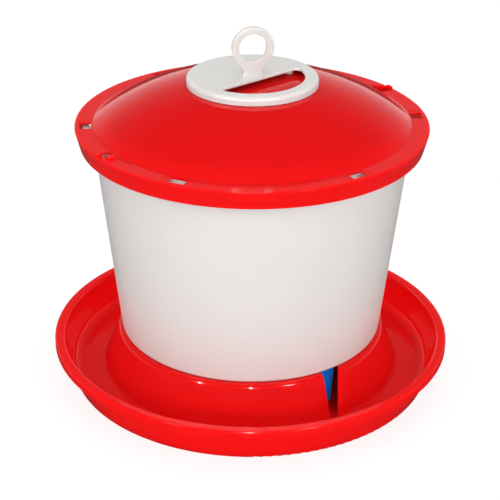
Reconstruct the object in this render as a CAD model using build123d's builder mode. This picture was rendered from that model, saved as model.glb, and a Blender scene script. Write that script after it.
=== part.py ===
from build123d import *
import os
from math import acos, cos, degrees, radians, sin, sqrt

# Poultry drinker: a round red drinking tray, a white tapered bucket that stands on
# the tray's hollow collar, a blue float that shuts the outlet under the bucket, and
# a red domed lid that locks by a short turn and hangs from a white cap with a ring.
# The origin is at the middle of the tray's foot, +Z is up and the front faces -Y.
# Lengths are millimetres. Angles are degrees from the front (-Y) towards +X.

# Tray
tray_radius = 195.0
tray_height = 40.0
tray_wall = 2.8
lip_width = 9.4
lip_depth = 8.0
lip_corner = 2.4
floor_top = 8.0
tray_foot_inset = 18.5
trough_corner = 10.0
foot_corner = 3.0

# Bucket
bucket_bottom_radius = 127.5
bucket_rim_radius = 150.7
bucket_height = 208.2
bucket_wall = 2.6
bucket_floor = 3.0
bucket_corner = 4.0
rim_corner = 0.9

# Collar under the bucket, and guide post in the middle of the tray
collar_height = 49.5
collar_shoulder = 3.5
collar_spread = 15.0
collar_corner = 6.0
ledge_reach = 6.5
ledge_thickness = 2.8
root_fillet = 2.0
post_radius = 8.0
post_bore = 5.0
post_top = 30.0

# Water notch in the collar: one side radial, the other parallel to Y
notch_angle = 31.5
notch_width = 14.25
jamb_width = 5.0
jamb_depth = 5.5
jamb_corner = 2.3

# Bucket hooks that lock under the collar's ledge
foot_hook_count = 3
foot_hook_angle = 60.0
foot_hook_arc = 9.0
foot_hook_turn = 10.5
foot_hook_wall = 3.0
foot_hook_reach = 2.2
foot_hook_lip = 3.0
foot_entry_play = 2.0
seat_clearance = 0.2

# Outlet in the bucket's floor
outlet_radius = 8.0
outlet_bore = 4.5
outlet_flange_radius = 15.0
outlet_flange = 3.0
outlet_flange_corner = 1.0
outlet_gasket_thickness = 2.0
outlet_nut_flats = 24.0
outlet_nut_thickness = 4.0
outlet_nut_chamfer = 0.6
outlet_thread_end = 0.5
outlet_mouth_radius = 6.0
outlet_mouth_length = 3.0
fit_clearance = 0.05

# Float
float_travel = 4.0
float_lobes = 3
float_top_arc = 88.0
float_bottom_arc = 80.4
float_entry_gap = 0.8
float_lean = 3.9
float_depth = 24.2
float_bottom = 9.3
float_headroom = 0.5
float_edge = 1.5
hub_radius = 11.5
hub_cap = 3.0
arm_width = 4.0
arm_height = 14.0
arm_base = 12.0
guide_clearance = 0.3
running_gap = 0.3
seal_radius = 8.5
seal_thickness = 3.0
seal_corner = 0.6
seal_peg_radius = 2.5
seal_peg_length = 2.0

# Lid
lid_overhang = 16.0
flange_thickness = 2.2
skirt_height = 17.6
skirt_lean = 4.6
skirt_wall = 2.8
dome_inset = 1.0
dome_wall = 2.6
dome_rise = 37.2
dome_bulge = 5.2
dome_fillet = 2.0
crown_radius = 59.0
crown_inset = 0.65
flange_corner = 1.4

# Lid lock: hooks in the skirt catch lugs on the bucket, under open windows
lock_count = 6
lock_angle = 36.0
window_width = 16.0
window_length = 11.0
window_gap = 0.1
frame_length = 24.0
frame_depth = 0.4
hook_arc = 5.6
hook_lead = 2.8
hook_thickness = 2.8
hook_clearance = 1.6
hook_bite = 0.8
lug_arc = 5.8
lug_lead = 4.3
lug_reach = 8.5
lug_thickness = 3.0
lug_drop = 2.6
stop_arc = 1.1
stop_lead = 4.3
lock_gap = 0.4

# Two spring tongues in the flange, and the thumb tab at the front
latch_count = 2
latch_angle = -54.0
latch_window_arc = 4.4
latch_slit_arc = 10.0
latch_slit_width = 1.6
latch_slit_overlap = 0.1
latch_pad_arc = 2.6
latch_pad_inset = 2.7
latch_pad_length = 7.0
latch_pad_height = 1.8
latch_stop_arc = 2.2
latch_stop_height = 2.6
latch_stop_corner = 1.2
thumb_tab_radius = 50.0
thumb_tab_reach = 2.5
thumb_tab_height = 7.6

# Cap with its hanging ring
cap_overhang = 2.7
cap_height = 7.5
cap_plate = 2.5
cap_wall = 3.4
cap_corner = 3.5
locating_ring_height = 3.0
locating_ring_wall = 2.0
grip_angle = 40.3
grip_chord = 10.0
grip_radius = 49.0
grip_corner = 5.0
grip_edge = 0.8
ring_radius = 19.6
ring_bore = 13.0
ring_thickness = 6.5
ring_turn = 10.0
ring_lift = 27.0
ring_edge = 1.4
ring_bore_edge = 0.8
neck_shoulder = 16.0
neck_shoulder_drop = 13.0
neck_waist = 8.0
neck_waist_drop = 22.5
neck_foot = 11.0
boss_count = 3
boss_radius = 4.0
boss_circle_radius = 45.0
screw_radius = 1.5
screw_hole_clearance = 0.2
screw_head_radius = 3.6
screw_head_height = 2.4
screw_head_corner = 1.0
screw_bite = 3.4
screw_tip_room = 0.8

# Cuts run this far past the faces they open
cut_margin = 1.0

# Heights and radii that follow from the sizes above
tray_foot_radius = tray_radius - tray_foot_inset
collar_top_radius = bucket_bottom_radius + collar_shoulder
collar_foot_radius = collar_top_radius + collar_spread
ledge_inner_radius = bucket_bottom_radius - ledge_reach
float_bottom_radius = ledge_inner_radius - float_entry_gap
float_top_radius = float_bottom_radius - float_lean
float_inner_radius = float_bottom_radius - float_depth
bucket_slope = (bucket_rim_radius - bucket_bottom_radius) / bucket_height
flange_radius = bucket_rim_radius + lid_overhang
dome_foot_radius = bucket_rim_radius - dome_inset
window_inner_radius = bucket_rim_radius + window_gap
window_outer_radius = window_inner_radius + window_length
latch_pad_inner_radius = window_inner_radius + latch_pad_inset
latch_pad_outer_radius = latch_pad_inner_radius + latch_pad_length
cap_radius = crown_radius + cap_overhang
floor_bottom = floor_top - tray_wall
collar_under_ledge = collar_height - ledge_thickness
bucket_base = collar_height
bucket_top = bucket_base + bucket_height
outlet_mouth = bucket_base - outlet_nut_thickness - outlet_mouth_length
seal_top = outlet_mouth - running_gap - float_travel
hub_top = seal_top - seal_thickness
float_top = bucket_base - float_travel - float_headroom
flange_underside = bucket_top + running_gap
flange_top = flange_underside + flange_thickness
skirt_bottom = flange_top - skirt_height
crown_top = flange_top + dome_rise
crown_underside = crown_top - dome_wall
cap_top = crown_top + cap_height
cap_underside = cap_top - cap_plate
cap_inner_radius = cap_radius - cap_wall
locating_ring_outer = cap_inner_radius - fit_clearance
ring_centre = cap_top + ring_lift


def polar(radius, angle):
    """Point in plan at an angle counted from the front (-Y) towards +X."""
    return (radius * sin(radians(angle)), -radius * cos(radians(angle)))


def outward(radius, angle):
    """Place at a point in plan, turned so that its own X axis points away from the middle."""
    return Location(polar(radius, angle), angle - 90)


def bucket_radius(z):
    """Outer radius of the bucket's wall at height z: it opens evenly upwards."""
    return bucket_bottom_radius + bucket_slope * (z - bucket_base)


def angles(count, first):
    """Angles of a ring of equal features, the first one given."""
    return [first + index * 360 / count for index in range(count)]


def round_corner(sketch, point, radius):
    """Round the corner of a profile that lies nearest to a point."""
    fillet(sketch.vertices().sort_by_distance(point)[0], radius)


def ring_sector(inner, outer, start, arc):
    """Outline of the sector of a flat ring that runs from the angle start over an arc."""
    middle = start + arc / 2
    end = start + arc
    with BuildLine() as outline:
        ThreePointArc(polar(outer, start), polar(outer, middle), polar(outer, end))
        Line(polar(outer, end), polar(inner, end))
        ThreePointArc(polar(inner, end), polar(inner, middle), polar(inner, start))
        Line(polar(inner, start), polar(outer, start))
    return outline.edges()


# Tray: one moulding with the trough, its turned lip, foot rings, collar and post
lip_inner_radius = tray_radius - lip_width
wall_outer_radius = lip_inner_radius + tray_wall
lip_bottom = tray_height - lip_depth
foot_ring_inner = tray_foot_radius - tray_wall
wall_slope = (wall_outer_radius - tray_foot_radius) / lip_bottom
trough_edge = tray_foot_radius + wall_slope * floor_top - tray_wall
collar_slope = (collar_foot_radius - collar_top_radius) / (collar_height - floor_top)
slant_wall = tray_wall * sqrt(1 + collar_slope**2)
collar_inner_top = collar_top_radius + collar_slope * ledge_thickness - slant_wall
collar_ring_inner = collar_foot_radius - tray_wall

os.makedirs("parts", exist_ok=True)

notch_side = collar_top_radius * sin(radians(notch_angle)) + notch_width
jamb_inner_radius = collar_top_radius - jamb_depth
jamb_foot = Vector(notch_side, -sqrt(collar_foot_radius**2 - notch_side**2), floor_top)
jamb_head = Vector(notch_side, -sqrt(collar_top_radius**2 - notch_side**2), collar_height)
jamb_line = jamb_head - jamb_foot
jamb_plane = Plane(origin=jamb_foot, x_dir=(1, 0, 0), z_dir=jamb_line)

with BuildPart() as notch_jamb:
    with BuildSketch(Plane.XZ):
        with BuildLine():
            Polyline(
                (jamb_inner_radius, floor_bottom),
                (collar_foot_radius, floor_bottom),
                (collar_foot_radius, floor_top),
                (collar_top_radius + collar_slope * ledge_thickness, collar_under_ledge),
                (jamb_inner_radius, collar_under_ledge),
                close=True,
            )
        make_face()
    revolve(axis=Axis.Z)
    with BuildSketch(Plane.XY):
        with Locations((notch_side + jamb_width / 2, -collar_foot_radius / 2)):
            Rectangle(jamb_width, collar_foot_radius)
    extrude(amount=collar_height, mode=Mode.INTERSECT)

# The jamb's sharp edge is rounded by a bar with one hollow side, cut along that edge
middle_radius = (collar_foot_radius + collar_top_radius) / 2
middle_depth = sqrt(middle_radius**2 - notch_side**2)
collar_normal = Vector(notch_side, -middle_depth, collar_slope * middle_radius).normalized()
across = collar_normal.X
inward = -collar_normal.dot(jamb_plane.y_dir)
rounding_centre = Vector(jamb_corner, jamb_corner * (1 + across) / inward)
rounding_middle = rounding_centre * (1 - jamb_corner / rounding_centre.length)
rounding_end = rounding_centre + Vector(across, -inward) * jamb_corner
bar_reach = 3 * cut_margin

with BuildPart() as jamb_rounding:
    with BuildSketch(jamb_plane):
        with BuildLine():
            ThreePointArc((0, rounding_centre.Y), rounding_middle, rounding_end)
            Polyline(
                rounding_end,
                rounding_end + Vector(across, -inward) * bar_reach,
                (-bar_reach, -bar_reach),
                (-bar_reach, rounding_centre.Y),
                (0, rounding_centre.Y),
            )
        make_face()
    extrude(amount=jamb_line.length)
    split(bisect_by=Plane.XY.offset(floor_top))

with BuildPart() as tray:
    with BuildSketch(Plane.XZ) as tray_profile:
        with BuildLine():
            Polyline(
                (0, floor_bottom),
                (collar_ring_inner, floor_bottom),
                (collar_ring_inner, 0),
                (collar_foot_radius, 0),
                (collar_foot_radius, floor_bottom),
                (foot_ring_inner, floor_bottom),
                (foot_ring_inner, 0),
                (tray_foot_radius, 0),
                (wall_outer_radius, lip_bottom),
                (wall_outer_radius, tray_height - tray_wall),
                (tray_radius - tray_wall, tray_height - tray_wall),
                (tray_radius - tray_wall, lip_bottom),
                (tray_radius, lip_bottom),
                (tray_radius, tray_height),
                (lip_inner_radius, tray_height),
                (trough_edge, floor_top),
                (collar_foot_radius, floor_top),
                (collar_top_radius, collar_height),
                (ledge_inner_radius, collar_height),
                (ledge_inner_radius, collar_under_ledge),
                (collar_inner_top, collar_under_ledge),
                (collar_foot_radius - slant_wall, floor_top),
                (post_radius, floor_top),
                (post_radius, post_top),
                (post_bore, post_top),
                (post_bore, floor_top),
                (0, floor_top),
                close=True,
            )
        make_face()
        round_corner(tray_profile, (tray_radius, tray_height), lip_corner)
        round_corner(tray_profile, (lip_inner_radius, tray_height), lip_corner)
        round_corner(tray_profile, (trough_edge, floor_top), trough_corner)
        round_corner(tray_profile, (tray_foot_radius, 0), foot_corner)
        round_corner(tray_profile, (collar_top_radius, collar_height), collar_corner)
        round_corner(tray_profile, (collar_foot_radius, floor_top), root_fillet)
        round_corner(tray_profile, (collar_inner_top, collar_under_ledge), root_fillet)
    revolve(axis=Axis.Z)
    with BuildSketch(Plane.XY.offset(floor_top)):
        notch_outer = polar(collar_foot_radius + root_fillet, notch_angle)
        notch_inner = polar(ledge_inner_radius - 2 * ledge_thickness, notch_angle)
        notch_back = -sqrt(ledge_inner_radius**2 - notch_side**2)
        with BuildLine():
            Polyline(
                notch_inner,
                notch_outer,
                (notch_side, notch_outer[1]),
                (notch_side, notch_back + ledge_thickness),
                close=True,
            )
        make_face()
    extrude(amount=collar_height, mode=Mode.SUBTRACT)
    add(notch_jamb.part)
    add(jamb_rounding.part, mode=Mode.SUBTRACT)
    with BuildSketch(Plane.XY.offset(collar_under_ledge - cut_margin)):
        gap_arc = foot_hook_arc + foot_entry_play
        gap_outer = ledge_inner_radius + foot_hook_reach + 2 * seat_clearance
        for angle in angles(foot_hook_count, foot_hook_angle + foot_hook_turn - gap_arc / 2):
            make_face(ring_sector(ledge_inner_radius - ledge_thickness, gap_outer, angle, gap_arc))
    extrude(amount=ledge_thickness + 2 * cut_margin, mode=Mode.SUBTRACT)
tray.part.label = "tray"
export_step(tray.part, "parts/tray.step")

# Bucket: tapered tub with six locking lugs at the rim and three hooks underneath
lug_top = bucket_top - lug_drop
lug_bottom = lug_top - lug_thickness
lug_root = bucket_radius(lug_bottom) - bucket_wall / 2
lug_tip = bucket_radius(lug_bottom) + lug_reach
stop_bottom = lug_bottom - lock_gap - hook_thickness
hook_top_below = collar_under_ledge - seat_clearance
hook_bottom_below = hook_top_below - foot_hook_lip
leg_outer = ledge_inner_radius - seat_clearance
leg_inner = leg_outer - foot_hook_wall

with BuildPart() as bucket:
    with BuildSketch(Plane.XZ) as bucket_profile:
        floor_height = bucket_base + bucket_floor
        with BuildLine():
            Polyline(
                (outlet_radius + seat_clearance, bucket_base),
                (bucket_bottom_radius, bucket_base),
                (bucket_radius(bucket_top), bucket_top),
                (bucket_radius(bucket_top) - bucket_wall, bucket_top),
                (bucket_radius(floor_height) - bucket_wall, floor_height),
                (outlet_radius + seat_clearance, floor_height),
                close=True,
            )
        make_face()
        inner_corner = bucket_corner - bucket_wall
        rim_outer = bucket_radius(bucket_top)
        round_corner(bucket_profile, (bucket_bottom_radius, bucket_base), bucket_corner)
        round_corner(bucket_profile, (bucket_bottom_radius - bucket_wall, floor_height), inner_corner)
        round_corner(bucket_profile, (rim_outer, bucket_top), rim_corner)
        round_corner(bucket_profile, (rim_outer - bucket_wall, bucket_top), rim_corner)
    revolve(axis=Axis.Z)
    with BuildSketch(Plane.XY.offset(lug_bottom)):
        for angle in angles(lock_count, lock_angle - lug_lead):
            make_face(ring_sector(lug_root, lug_tip, angle, lug_arc))
    extrude(amount=lug_thickness)
    with BuildSketch(Plane.XY.offset(stop_bottom)):
        for angle in angles(lock_count, lock_angle - stop_lead):
            make_face(ring_sector(lug_root, lug_tip, angle, stop_arc))
    extrude(amount=lug_bottom - stop_bottom)
    with BuildSketch(Plane.XY.offset(hook_bottom_below)):
        for angle in angles(foot_hook_count, foot_hook_angle - foot_hook_arc / 2):
            make_face(ring_sector(leg_inner, leg_outer, angle, foot_hook_arc))
    extrude(amount=bucket_base - hook_bottom_below)
    with BuildSketch(Plane.XY.offset(hook_bottom_below)):
        hook_tip = ledge_inner_radius + foot_hook_reach
        for angle in angles(foot_hook_count, foot_hook_angle - foot_hook_arc / 2):
            make_face(ring_sector(leg_inner, hook_tip, angle, foot_hook_arc))
    extrude(amount=foot_hook_lip)
bucket.part.label = "bucket"
export_step(bucket.part, "parts/bucket.step")

# Outlet: a flanged fitting through the bucket's floor, its gasket and its nut
flange_base = bucket_base + bucket_floor + outlet_gasket_thickness
thread_bottom = bucket_base - outlet_nut_thickness - outlet_thread_end

with BuildPart() as outlet_fitting:
    with BuildSketch(Plane.XZ) as outlet_profile:
        with BuildLine():
            Polyline(
                (outlet_bore, outlet_mouth),
                (outlet_mouth_radius, outlet_mouth),
                (outlet_mouth_radius, thread_bottom),
                (outlet_radius, thread_bottom),
                (outlet_radius, flange_base),
                (outlet_flange_radius, flange_base),
                (outlet_flange_radius, flange_base + outlet_flange),
                (outlet_bore, flange_base + outlet_flange),
                close=True,
            )
        make_face()
        flange_edge = (outlet_flange_radius, flange_base + outlet_flange)
        round_corner(outlet_profile, flange_edge, outlet_flange_corner)
    revolve(axis=Axis.Z)
outlet_fitting.part.label = "outlet_fitting"
export_step(outlet_fitting.part, "parts/outlet_fitting.step")

with BuildPart() as outlet_gasket:
    with BuildSketch(Plane.XY.offset(bucket_base + bucket_floor)):
        Circle(outlet_flange_radius)
        Circle(outlet_radius + fit_clearance, mode=Mode.SUBTRACT)
    extrude(amount=outlet_gasket_thickness)
outlet_gasket.part.label = "outlet_gasket"
export_step(outlet_gasket.part, "parts/outlet_gasket.step")

with BuildPart() as outlet_nut:
    with BuildSketch(Plane.XY.offset(bucket_base - outlet_nut_thickness)):
        RegularPolygon(outlet_nut_flats / 2, 6, major_radius=False)
        Circle(outlet_radius + fit_clearance, mode=Mode.SUBTRACT)
    extrude(amount=outlet_nut_thickness)
    chamfer(outlet_nut.faces().sort_by(Axis.Z)[0].outer_wire().edges(), outlet_nut_chamfer)
outlet_nut.part.label = "outlet_nut"
export_step(outlet_nut.part, "parts/outlet_nut.step")

# Float: three lobes that follow the collar, joined by arms to a hub on the tray's post
hub_base = floor_top + running_gap

with BuildPart() as float_body:
    for middle in angles(float_lobes, 0):
        low_start = middle - float_bottom_arc / 2
        high_start = middle - float_top_arc / 2
        with BuildSketch(Plane.XY.offset(float_bottom)):
            make_face(ring_sector(float_inner_radius, float_bottom_radius, low_start, float_bottom_arc))
        with BuildSketch(Plane.XY.offset(float_top)):
            make_face(ring_sector(float_inner_radius, float_top_radius, high_start, float_top_arc))
        loft()
    fillet(float_body.edges(), float_edge)
    with BuildSketch(Plane.XY.offset(arm_base)):
        for middle in angles(float_lobes, 0):
            with Locations(outward(float_inner_radius / 2, middle)):
                Rectangle(float_inner_radius + 2 * cut_margin, arm_width)
    extrude(amount=arm_height)
    with BuildSketch(Plane.XY.offset(hub_base)):
        Circle(hub_radius)
    extrude(amount=hub_top - hub_base)
    with BuildSketch(Plane.XY.offset(hub_base)):
        Circle(post_radius + guide_clearance)
    extrude(amount=hub_top - hub_cap - hub_base, mode=Mode.SUBTRACT)
    with BuildSketch(Plane.XY.offset(hub_top)):
        Circle(seal_peg_radius)
    extrude(amount=-seal_peg_length, mode=Mode.SUBTRACT)
float_body.part.label = "float"
export_step(float_body.part, "parts/float.step")

with BuildPart() as valve_seal:
    with BuildSketch(Plane.XY.offset(hub_top)):
        Circle(seal_radius)
    extrude(amount=seal_thickness)
    fillet(valve_seal.edges().sort_by(Axis.Z)[-1], seal_corner)
    with BuildSketch(Plane.XY.offset(hub_top)):
        Circle(seal_peg_radius - fit_clearance)
    extrude(amount=fit_clearance - seal_peg_length)
valve_seal.part.label = "valve_seal"
export_step(valve_seal.part, "parts/valve_seal.step")

# Lid: a domed moulding with a flat flange, a leaning skirt and six inward hooks
skirt_inner = flange_radius - skirt_lean - skirt_wall
crown_inner = crown_radius - crown_inset
hook_top = lug_bottom - lock_gap
hook_inner_radius = bucket_radius(hook_top) + hook_clearance
hook_height_share = (hook_top - skirt_bottom) / (flange_underside - skirt_bottom)
hook_root_radius = skirt_inner + skirt_lean * hook_height_share + hook_bite
window_middle = (window_inner_radius + window_outer_radius) / 2
slit_outer_radius = window_inner_radius + latch_slit_width
latch_stop_outer = flange_radius - flange_corner
boss_angles = angles(boss_count + 1, grip_angle)[1:]

with BuildPart() as lid:
    with BuildSketch(Plane.XZ) as lid_profile:
        with BuildLine():
            SagittaArc((dome_foot_radius, flange_top), (crown_radius, crown_top), -dome_bulge)
            Line((crown_radius, crown_top), (0, crown_top))
            Line((0, crown_top), (0, crown_underside))
            Line((0, crown_underside), (crown_inner, crown_underside))
            SagittaArc(
                (crown_inner, crown_underside),
                (dome_foot_radius - dome_wall, flange_underside),
                dome_bulge,
            )
            Polyline(
                (dome_foot_radius - dome_wall, flange_underside),
                (flange_radius - skirt_wall, flange_underside),
                (skirt_inner, skirt_bottom),
                (flange_radius - skirt_lean, skirt_bottom),
                (flange_radius, flange_top),
                (dome_foot_radius, flange_top),
            )
        make_face()
        round_corner(lid_profile, (flange_radius, flange_top), flange_corner)
        round_corner(lid_profile, (dome_foot_radius, flange_top), dome_fillet)
    revolve(axis=Axis.Z)
    with BuildSketch(Plane.XY.offset(hook_top - hook_thickness)):
        for angle in angles(lock_count, lock_angle - hook_lead):
            make_face(ring_sector(hook_inner_radius, hook_root_radius, angle, hook_arc))
    extrude(amount=hook_thickness)
    with BuildSketch(Plane.XY.offset(flange_top)):
        for angle in angles(lock_count, lock_angle):
            with Locations(outward(window_middle, angle)):
                Rectangle(window_length, frame_length)
    extrude(amount=-frame_depth, mode=Mode.SUBTRACT)
    with BuildSketch(Plane.XY.offset(flange_underside - cut_margin)):
        for angle in angles(lock_count, lock_angle):
            with Locations(outward(window_middle, angle)):
                Rectangle(window_length, window_width)
        for angle in angles(latch_count, latch_angle):
            window_start = angle - latch_window_arc
            slit_start = angle - latch_slit_overlap
            make_face(ring_sector(window_inner_radius, window_outer_radius, window_start, latch_window_arc))
            make_face(ring_sector(window_inner_radius, slit_outer_radius, slit_start, latch_slit_arc))
    extrude(amount=flange_thickness + 2 * cut_margin, mode=Mode.SUBTRACT)
    with BuildSketch(Plane.XY.offset(flange_top)):
        for angle in angles(latch_count, latch_angle):
            make_face(ring_sector(latch_pad_inner_radius, latch_pad_outer_radius, angle, latch_pad_arc))
    extrude(amount=latch_pad_height)
    for angle in angles(latch_count, latch_angle):
        with BuildSketch(Plane.XY.offset(flange_top - frame_depth)):
            stop_start = angle - (latch_window_arc + latch_stop_arc) / 2
            make_face(ring_sector(window_outer_radius, latch_stop_outer, stop_start, latch_stop_arc))
        latch_stop = extrude(amount=latch_stop_height + frame_depth)
        fillet(latch_stop.faces().sort_by(Axis.Z)[-1].edges(), latch_stop_corner)
    with BuildSketch(Plane.XY.offset(flange_top - thumb_tab_height)):
        with Locations((0, thumb_tab_radius - flange_radius - thumb_tab_reach)):
            Circle(thumb_tab_radius)
        Circle(flange_radius - skirt_wall, mode=Mode.SUBTRACT)
    extrude(amount=thumb_tab_height)
    with BuildSketch(Plane.XY.offset(crown_top)):
        Circle(locating_ring_outer)
        Circle(locating_ring_outer - locating_ring_wall, mode=Mode.SUBTRACT)
    extrude(amount=locating_ring_height)
    with BuildSketch(Plane.XY.offset(crown_top)):
        for angle in boss_angles:
            with Locations(polar(boss_circle_radius, angle)):
                Circle(screw_radius + screw_hole_clearance)
    extrude(amount=-dome_wall, mode=Mode.SUBTRACT)
lid.part.label = "lid"
export_step(lid.part, "parts/lid.step")

# Cap: a shallow dish upside down, with a half-moon finger grip and the hanging ring
grip_half_angle = degrees(acos(grip_chord / grip_radius))
turn = radians(ring_turn)
ring_plane = Plane(
    origin=(0, 0, ring_centre),
    x_dir=(cos(turn), sin(turn), 0),
    z_dir=(sin(turn), -cos(turn), 0),
)

with BuildPart() as hanging_ring:
    with BuildSketch(ring_plane):
        Circle(ring_radius)
        with BuildLine():
            Polyline(
                (-neck_shoulder, -neck_shoulder_drop),
                (neck_shoulder, -neck_shoulder_drop),
                (neck_waist, -neck_waist_drop),
                (neck_foot, -ring_lift - cap_plate / 2),
                (-neck_foot, -ring_lift - cap_plate / 2),
                (-neck_waist, -neck_waist_drop),
                close=True,
            )
        make_face()
    extrude(amount=ring_thickness / 2, both=True)
    ring_faces = hanging_ring.faces().sort_by(Axis((0, 0, 0), ring_plane.z_dir))
    for ring_face in (ring_faces[0], ring_faces[-1]):
        rounded = ring_face.edges().sort_by(Axis.Z)[1:]
        fillet(rounded, ring_edge)
    with BuildSketch(ring_plane):
        Circle(ring_bore)
    extrude(amount=ring_thickness / 2, both=True, mode=Mode.SUBTRACT)
    fillet(hanging_ring.edges().filter_by(GeomType.CIRCLE).group_by(SortBy.RADIUS)[0], ring_bore_edge)

with BuildPart() as hanger_cap:
    with BuildSketch(Plane.XZ) as cap_profile:
        with BuildLine():
            Polyline(
                (0, cap_underside),
                (cap_inner_radius, cap_underside),
                (cap_inner_radius, crown_top),
                (cap_radius, crown_top),
                (cap_radius, cap_top),
                (0, cap_top),
                close=True,
            )
        make_face()
        round_corner(cap_profile, (cap_radius, cap_top), cap_corner)
    revolve(axis=Axis.Z)
    with BuildSketch(Plane.XY.offset(cap_top)) as grip:
        with BuildLine():
            ThreePointArc(
                polar(grip_radius, grip_angle - grip_half_angle),
                polar(grip_radius, grip_angle),
                polar(grip_radius, grip_angle + grip_half_angle),
            )
            Line(
                polar(grip_radius, grip_angle + grip_half_angle),
                polar(grip_radius, grip_angle - grip_half_angle),
            )
        make_face()
        fillet(grip.vertices(), grip_corner)
    extrude(amount=-cap_plate, mode=Mode.SUBTRACT)
    fillet(hanger_cap.faces().sort_by(Axis.Z)[-1].inner_wires()[0].edges(), grip_edge)
    add(hanging_ring.part)
    with BuildSketch(Plane.XY.offset(cap_underside)):
        for angle in boss_angles:
            with Locations(polar(boss_circle_radius, angle)):
                Circle(boss_radius)
    extrude(amount=crown_top - cap_underside)
    with BuildSketch(Plane.XY.offset(crown_top)):
        for angle in boss_angles:
            with Locations(polar(boss_circle_radius, angle)):
                Circle(screw_radius + fit_clearance)
    extrude(amount=screw_bite + screw_tip_room, mode=Mode.SUBTRACT)
hanger_cap.part.label = "hanger_cap"
export_step(hanger_cap.part, "parts/hanger_cap.step")

# Three screws hold the cap from inside the lid
with BuildPart() as cap_screws:
    for angle in boss_angles:
        with BuildSketch(Plane.XY.offset(crown_underside)):
            with Locations(polar(boss_circle_radius, angle)):
                Circle(screw_head_radius)
        extrude(amount=-screw_head_height)
        with BuildSketch(Plane.XY.offset(crown_underside)):
            with Locations(polar(boss_circle_radius, angle)):
                Circle(screw_radius)
        extrude(amount=dome_wall + screw_bite)
    fillet(cap_screws.edges().group_by(Axis.Z)[0], screw_head_corner)
cap_screws.part.label = "cap_screws"
export_step(cap_screws.part, "parts/cap_screws.step")
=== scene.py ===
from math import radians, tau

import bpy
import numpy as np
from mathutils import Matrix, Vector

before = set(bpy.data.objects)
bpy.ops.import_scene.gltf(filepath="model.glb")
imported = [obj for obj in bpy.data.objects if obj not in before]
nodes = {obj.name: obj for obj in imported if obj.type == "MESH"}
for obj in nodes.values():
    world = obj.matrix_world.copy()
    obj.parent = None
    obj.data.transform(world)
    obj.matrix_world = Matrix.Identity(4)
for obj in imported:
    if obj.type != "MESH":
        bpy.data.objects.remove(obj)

# %% [markdown]
# # A hanging poultry drinker
# The object is a red drinking tray, a white tapered bucket that stands on the tray's
# collar, a red domed lid and a white cap with a hanging ring. A blue float behind the
# notch in the collar lets water into the trough. All of it is injection moulded
# polypropylene, so the look rests on three things: large clean curves, soft glossy
# highlights, and a white that lets a little light through.

scene = bpy.context.scene
scene.view_settings.view_transform = "Standard"
MM = 0.001
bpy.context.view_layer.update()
print("nodes", sorted(nodes))

# %% [markdown]
# ## The camera
# The photograph looks down on the drinker by about 26 degrees from a long way off, so
# a long lens is used. The picture leans by a small fraction of a degree, as a camera
# held by hand does, and a roll about the line of sight gives that lean.

# %% Camera at the photograph's angle
camera_place = Vector((0.0, -1.3168, 0.7753))
camera_aim = Vector((-0.0011, 0.0, 0.1240))
camera_roll = radians(0.45)
sensor_mm, lens_mm = 36.0, 107.9
camera_data = bpy.data.cameras.new("studio_camera")
camera_data.sensor_width = sensor_mm
camera_data.lens = lens_mm
camera = bpy.data.objects.new("studio_camera", camera_data)
scene.collection.objects.link(camera)
line_of_sight = (camera_aim - camera_place).to_track_quat("-Z", "Y").to_matrix()
turned = line_of_sight @ Matrix.Rotation(camera_roll, 3, "Z")
camera.matrix_world = Matrix.Translation(camera_place) @ turned.to_4x4()
scene.camera = camera
print("camera distance", round((camera_aim - camera_place).length, 3), "m")

# %% [markdown]
# ## Colours and nodes
# Colours are written as the hex values that a screen shows. Blender computes in linear
# light, so one function turns them. A second small function adds any shader node with
# its settings and links, which keeps each material readable from top to bottom.


# %% Helpers for materials
def linear(hex_code, alpha=1.0):
    """sRGB hex to linear: v / 12.92 below 0.04045, else ((v + 0.055) / 1.055) ** 2.4."""
    values = np.array([int(hex_code[i:i + 2], 16) for i in (1, 3, 5)]) / 255
    low, high = values / 12.92, ((values + 0.055) / 1.055) ** 2.4
    return (*np.where(values <= 0.04045, low, high).tolist(), alpha)


def add_node(tree, kind, settings=None, **inputs):
    """Adds one shader node. Settings are its own options; each input is a value, or a
    link where it is an output socket. Underscores stand for spaces in input names."""
    node = tree.nodes.new(kind)
    for name, value in (settings or {}).items():
        setattr(node, name, value)
    for name, value in inputs.items():
        key = int(name[1:]) if name[0] == "i" and name[1:].isdigit() else name.replace("_", " ")
        socket = node.inputs[key]
        if isinstance(value, bpy.types.NodeSocket):
            tree.links.new(value, socket)
        else:
            socket.default_value = value
    return node


def new_material(name):
    """An empty node material with its tree and its surface output."""
    material = bpy.data.materials.new(name)
    material.use_nodes = True
    tree = material.node_tree
    tree.nodes.clear()
    return material, tree, tree.nodes.new("ShaderNodeOutputMaterial")


# %% [markdown]
# ## Moulded polypropylene
# The pieces are moulded in polished steel moulds. The skin is smooth, with a very
# shallow waviness where the plastic shrank as it cooled, and handling leaves it a
# little duller in patches. Noise in two sizes gives both: a wide one moves the
# roughness, and a fine one feeds a bump of a few hundredths of a millimetre.
#
# The dome of the lid is a thin wall over a dark hollow, and it looks deeper than the flange
# round it, which lies on the white rim. That deeper middle is painted shade, standing in
# for light that goes through the wall and is lost: a darker red is mixed into the colour
# towards the middle of the lid.


# %% Moulded plastic
patch_mm = 60
noise_low, noise_high = 0.3, 0.7


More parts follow.
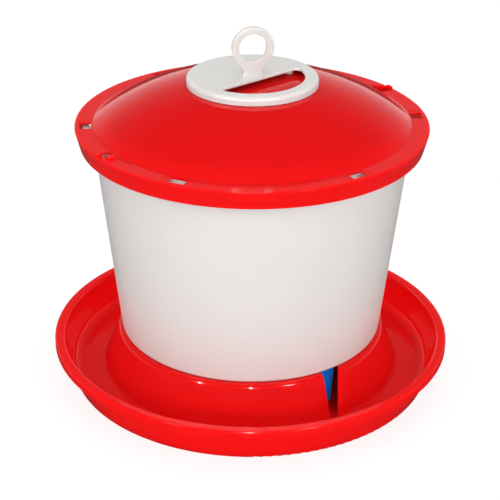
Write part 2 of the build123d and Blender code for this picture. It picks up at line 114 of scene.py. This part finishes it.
def moulded_plastic(name, colour, shade, rough, rough_spread, wave_mm, wave_height_mm,
                    painted_dome_shade=None, **shader):
    """A plastic whose colour drifts between two close shades, whose roughness drifts by
    rough_spread about rough, and whose skin waves with a period of wave_mm.
    painted_dome_shade is a darker colour painted into the middle as shade, and the two
    radii in mm between which it fades out."""
    material, tree, output = new_material(name)
    place = add_node(tree, "ShaderNodeTexCoord").outputs["Object"]
    patches = add_node(tree, "ShaderNodeTexNoise", Vector=place, Scale=1 / (patch_mm * MM),
                       Detail=3.0, Roughness=0.55).outputs["Fac"]
    waves = add_node(tree, "ShaderNodeTexNoise", Vector=place, Scale=1 / (wave_mm * MM),
                     Detail=2.0, Roughness=0.4).outputs["Fac"]
    tint = add_node(tree, "ShaderNodeMix", {"data_type": "RGBA"}, i0=patches,
                    i6=linear(colour), i7=linear(shade)).outputs[2]
    # Painted shade: a darker red mixed into the colour towards the middle, fading out between
    # the two radii.
    if painted_dome_shade:
        deep, full_radius, end_radius = painted_dome_shade
        flat = add_node(tree, "ShaderNodeVectorMath", {"operation": "MULTIPLY"},
                        i0=place, i1=(1.0, 1.0, 0.0)).outputs["Vector"]
        radius = add_node(tree, "ShaderNodeVectorMath", {"operation": "LENGTH"},
                          i0=flat).outputs["Value"]
        share = add_node(tree, "ShaderNodeMapRange", {"interpolation_type": "SMOOTHSTEP"},
                         Value=radius, From_Min=full_radius * MM, From_Max=end_radius * MM,
                         To_Min=1.0, To_Max=0.0).outputs["Result"]
        tint = add_node(tree, "ShaderNodeMix", {"data_type": "RGBA"}, i0=share,
                        i6=tint, i7=linear(deep)).outputs[2]
    dullness = add_node(tree, "ShaderNodeMapRange", Value=patches,
                        From_Min=noise_low, From_Max=noise_high, To_Min=rough - rough_spread,
                        To_Max=rough + rough_spread).outputs["Result"]
    skin = add_node(tree, "ShaderNodeBump", Strength=1.0, Distance=wave_height_mm * MM,
                    Height=waves).outputs["Normal"]
    surface = add_node(tree, "ShaderNodeBsdfPrincipled", Base_Color=tint,
                       Roughness=dullness, Normal=skin, **shader)
    tree.links.new(surface.outputs["BSDF"], output.inputs["Surface"])
    return material


red_shader = dict(IOR=1.49, Specular_IOR_Level=0.3, Subsurface_Weight=0.8,
                  Subsurface_Radius=(1.0, 0.08, 0.08), Subsurface_Scale=0.01)
red_skin = ("#F21416", "#EC1214", 0.075, 0.02, 28, 0.02)
red_polypropylene = moulded_plastic("red_polypropylene_polished", *red_skin, **red_shader)
# The lid gets painted shade on its dome: a darker red towards the middle, fading out between 128
# and 150 mm.
red_polypropylene_dome_shaded = moulded_plastic(
    "red_polypropylene_painted_dome_shade", *red_skin, painted_dome_shade=("#DC0F11", 128, 150), **red_shader)
white_polypropylene = moulded_plastic(
    "white_polypropylene_satin", "#DAD8D6", "#D6D4D1", 0.34, 0.04, 34, 0.03,
    IOR=1.49, Subsurface_Weight=0.35, Subsurface_Radius=(0.9, 0.8, 0.7),
    Subsurface_Scale=0.004)
blue_polypropylene = moulded_plastic(
    "blue_polypropylene_smooth", "#0088FF", "#007CEB", 0.34, 0.04, 12, 0.03, IOR=1.49)
nitrile_rubber = moulded_plastic(
    "nitrile_rubber_moulded", "#1C1C1D", "#242424", 0.6, 0.08, 3, 0.03, IOR=1.5)
print("plastics", [material.name for material in bpy.data.materials])

# %% [markdown]
# ## Stainless steel for the three screws
# They sit inside the lid and are seen only from below. Turned heads carry fine rings.


# %% Stainless steel
def turned_steel(name, colour, rough, rough_spread, ring_mm):
    """A metal with rings of light and dull finish, spaced by ring_mm, as a lathe leaves."""
    material, tree, output = new_material(name)
    place = add_node(tree, "ShaderNodeTexCoord").outputs["Object"]
    rings = add_node(tree, "ShaderNodeTexWave", {"wave_type": "RINGS", "rings_direction": "Z"},
                     Vector=place, Scale=1 / (ring_mm * MM) / tau, Distortion=0.6).outputs["Fac"]
    dullness = add_node(tree, "ShaderNodeMapRange", Value=rings,
                        To_Min=rough - rough_spread,
                        To_Max=rough + rough_spread).outputs["Result"]
    surface = add_node(tree, "ShaderNodeBsdfPrincipled", Base_Color=linear(colour),
                       Metallic=1.0, Roughness=dullness)
    tree.links.new(surface.outputs["BSDF"], output.inputs["Surface"])
    return material


stainless_steel = turned_steel("stainless_steel_turned", "#C9CACC", 0.36, 0.06, 0.5)
print("metal", stainless_steel.name)

# %% Finishes on the solids of the frame
finishes = {
    "tray": red_polypropylene,
    "lid": red_polypropylene_dome_shaded,
    "bucket": white_polypropylene,
    "hanger_cap": white_polypropylene,
    "outlet_fitting": white_polypropylene,
    "outlet_nut": white_polypropylene,
    "float": blue_polypropylene,
    "outlet_gasket": nitrile_rubber,
    "valve_seal": nitrile_rubber,
    "cap_screws": stainless_steel,
}
for node_name, finish in finishes.items():
    mesh = nodes[node_name].data
    mesh.materials.clear()
    mesh.materials.append(finish)
    print(node_name, len(mesh.polygons), "triangles", finish.name)

# %% [markdown]
# ## Floor and backdrop
# The photograph has a plain white ground. The floor is a large sheet of white paper. To
# the camera it is grey paper with a glow of its own, so it comes out plain white and the
# drinker's shadow stays faint. Glossy plastic mirrors its surroundings at a low angle.
# The photograph's reds stay deep there, so mirror rays meet a darker floor, as on a
# table of grey card.


# %% White studio floor
def studio_floor(name, half_width, height):
    """A flat square sheet: four corners at (+-half_width, +-half_width, height)."""
    mesh = bpy.data.meshes.new(name)
    corners = np.array([(-1, -1), (1, -1), (1, 1), (-1, 1)]) * half_width
    points = np.column_stack([corners, np.full(4, height)])
    mesh.from_pydata(points.tolist(), [], [(0, 1, 2, 3)])
    sheet = bpy.data.objects.new(name, mesh)
    scene.collection.objects.link(sheet)
    return sheet


floor_white, floor_seen, floor_mirrored = "#E4E4E4", "#7E7E7E", "#4A4A4A"
floor_glow = 0.81
floor_half_width, floor_height = 6.0, -0.0002
floor_paper, paper_tree, paper_output = new_material("floor_paper_white")
paper_ray = add_node(paper_tree, "ShaderNodeLightPath")
paper_seen = add_node(paper_tree, "ShaderNodeMix", {"data_type": "RGBA"},
                      i0=paper_ray.outputs["Is Camera Ray"], i6=linear(floor_white),
                      i7=linear(floor_seen)).outputs[2]
paper_colour = add_node(paper_tree, "ShaderNodeMix", {"data_type": "RGBA"},
                        i0=paper_ray.outputs["Is Glossy Ray"], i6=paper_seen,
                        i7=linear(floor_mirrored)).outputs[2]
paper_glow = add_node(paper_tree, "ShaderNodeMath", {"operation": "MULTIPLY"},
                      i0=paper_ray.outputs["Is Camera Ray"], i1=floor_glow).outputs[0]
paper = add_node(paper_tree, "ShaderNodeBsdfPrincipled", Base_Color=paper_colour,
                 Roughness=0.9, Specular_IOR_Level=0.0,
                 Emission_Color=(1.0, 1.0, 1.0, 1.0), Emission_Strength=paper_glow)
paper_tree.links.new(paper.outputs["BSDF"], paper_output.inputs["Surface"])
floor = studio_floor("studio_floor", floor_half_width, floor_height)
floor.data.materials.append(floor_paper)
print("floor", floor.name, floor_paper.name)

# %% [markdown]
# ## The room as the plastic sees it
# The room lights the drinker evenly from all sides. Mirror rays see a bright wall behind
# the set, and a dark room behind the camera. Both darken towards the ceiling:
# ceiling + (horizon - ceiling) * behind * (1 - height) ** 3, where height is the sine of
# the angle above the horizon, and behind runs from a tenth at the camera to one behind
# the drinker. It gives the pale edges of the dome and leaves its middle deep.

# %% White world
horizon, ceiling, even_room = 0.9, 0.06, 0.76
falloff_power = 3.0
turn_span, camera_side = 0.4, 0.1
world = bpy.data.worlds.new("white_studio")
scene.world = world
world.use_nodes = True
sky = world.node_tree
sky.nodes.clear()
sky_output = sky.nodes.new("ShaderNodeOutputWorld")
ray = add_node(sky, "ShaderNodeLightPath")
direction = add_node(sky, "ShaderNodeTexCoord").outputs["Generated"]
along = add_node(sky, "ShaderNodeSeparateXYZ", Vector=direction)
from_top = add_node(sky, "ShaderNodeMath", {"operation": "SUBTRACT", "use_clamp": True},
                    i0=1.0, i1=along.outputs["Z"]).outputs[0]
falloff = add_node(sky, "ShaderNodeMath", {"operation": "POWER"}, i0=from_top,
                   i1=falloff_power).outputs[0]
behind = add_node(sky, "ShaderNodeMapRange", {"interpolation_type": "SMOOTHSTEP"},
                  Value=along.outputs["Y"], From_Min=-turn_span, From_Max=turn_span,
                  To_Min=camera_side, To_Max=1.0).outputs["Result"]
wall = add_node(sky, "ShaderNodeMath", {"operation": "MULTIPLY"}, i0=falloff,
                i1=behind).outputs[0]
mirrored_room = add_node(sky, "ShaderNodeMath", {"operation": "MULTIPLY_ADD"},
                         i0=wall, i1=horizon - ceiling, i2=ceiling).outputs[0]
room = add_node(sky, "ShaderNodeMix", {"data_type": "FLOAT"},
                i0=ray.outputs["Is Glossy Ray"], i2=even_room, i3=mirrored_room).outputs[0]
seen = add_node(sky, "ShaderNodeMath", {"operation": "MAXIMUM"},
                i0=ray.outputs["Is Camera Ray"], i1=ray.outputs["Is Transmission Ray"])
level = add_node(sky, "ShaderNodeMix", {"data_type": "FLOAT"}, i0=seen.outputs[0],
                 i2=room, i3=1.0)
glow = add_node(sky, "ShaderNodeBackground", Color=(1.0, 1.0, 1.0, 1.0),
                Strength=level.outputs[0])
sky.links.new(glow.outputs["Background"], sky_output.inputs["Surface"])
print("world", world.name, len(sky.nodes), "nodes")

# %% [markdown]
# ## Studio light
# Three small lamps stand in front, each with a twin that shows only in the gloss and
# draws the sharp glints on the edges. The large ones are fills: they light the white
# bucket and the red walls evenly and leave no bands on the gloss. Angles are in degrees
# and azimuth 0 is the front.


# %% Lamps
object_middle = Vector((0.0, 0.0, 0.15))


def lamp_place(azimuth, elevation, distance):
    """The point at a distance from the drinker's middle, azimuth 0 being the front."""
    turn, rise = radians(azimuth), radians(elevation)
    step = (np.sin(turn) * np.cos(rise), -np.cos(turn) * np.cos(rise), np.sin(rise))
    return object_middle + Vector(step) * distance


def soft_lamp(name, place, width, height, watts, glints=False):
    """A rectangular area lamp at place that faces the drinker, sizes in metres. A lamp
    of glints shows only in the gloss, and the others light without a highlight."""
    data = bpy.data.lights.new(name, "AREA")
    data.shape = "RECTANGLE"
    data.size, data.size_y = width, height
    data.energy = watts
    lamp = bpy.data.objects.new(name, data)
    lamp.visible_glossy = glints
    lamp.visible_diffuse = not glints
    facing = (object_middle - place).to_track_quat("-Z", "Y").to_matrix()
    lamp.matrix_world = Matrix.Translation(place) @ facing.to_4x4()
    scene.collection.objects.link(lamp)
    print(name, watts, "W")


small_lamps = (("front", 0, 28), ("left", -44, 34), ("right", 34, 34))
small_size, small_distance = 0.1, 2.0
small_watts, glint_watts = 3.2, 34
for side, azimuth, elevation in small_lamps:
    place = lamp_place(azimuth, elevation, small_distance)
    soft_lamp(f"{side}_lamp", place, small_size, small_size, small_watts)
    soft_lamp(f"{side}_glint", place, small_size, small_size, glint_watts, glints=True)

# Each fill: its azimuth, elevation and distance, its width and height, and its watts.
fills = {
    "low_fill": ((0, 14, 2.2), (2.8, 0.3), 15.5),
    "top_fill": ((180, 85, 2.0), (1.6, 1.6), 7),
    "back_left_fill": ((-150, 25, 2.0), (1.2, 0.8), 3),
    "back_right_fill": ((150, 25, 2.0), (1.2, 0.8), 3),
}
for name, (where, size, watts) in fills.items():
    soft_lamp(name, lamp_place(*where), *size, watts)
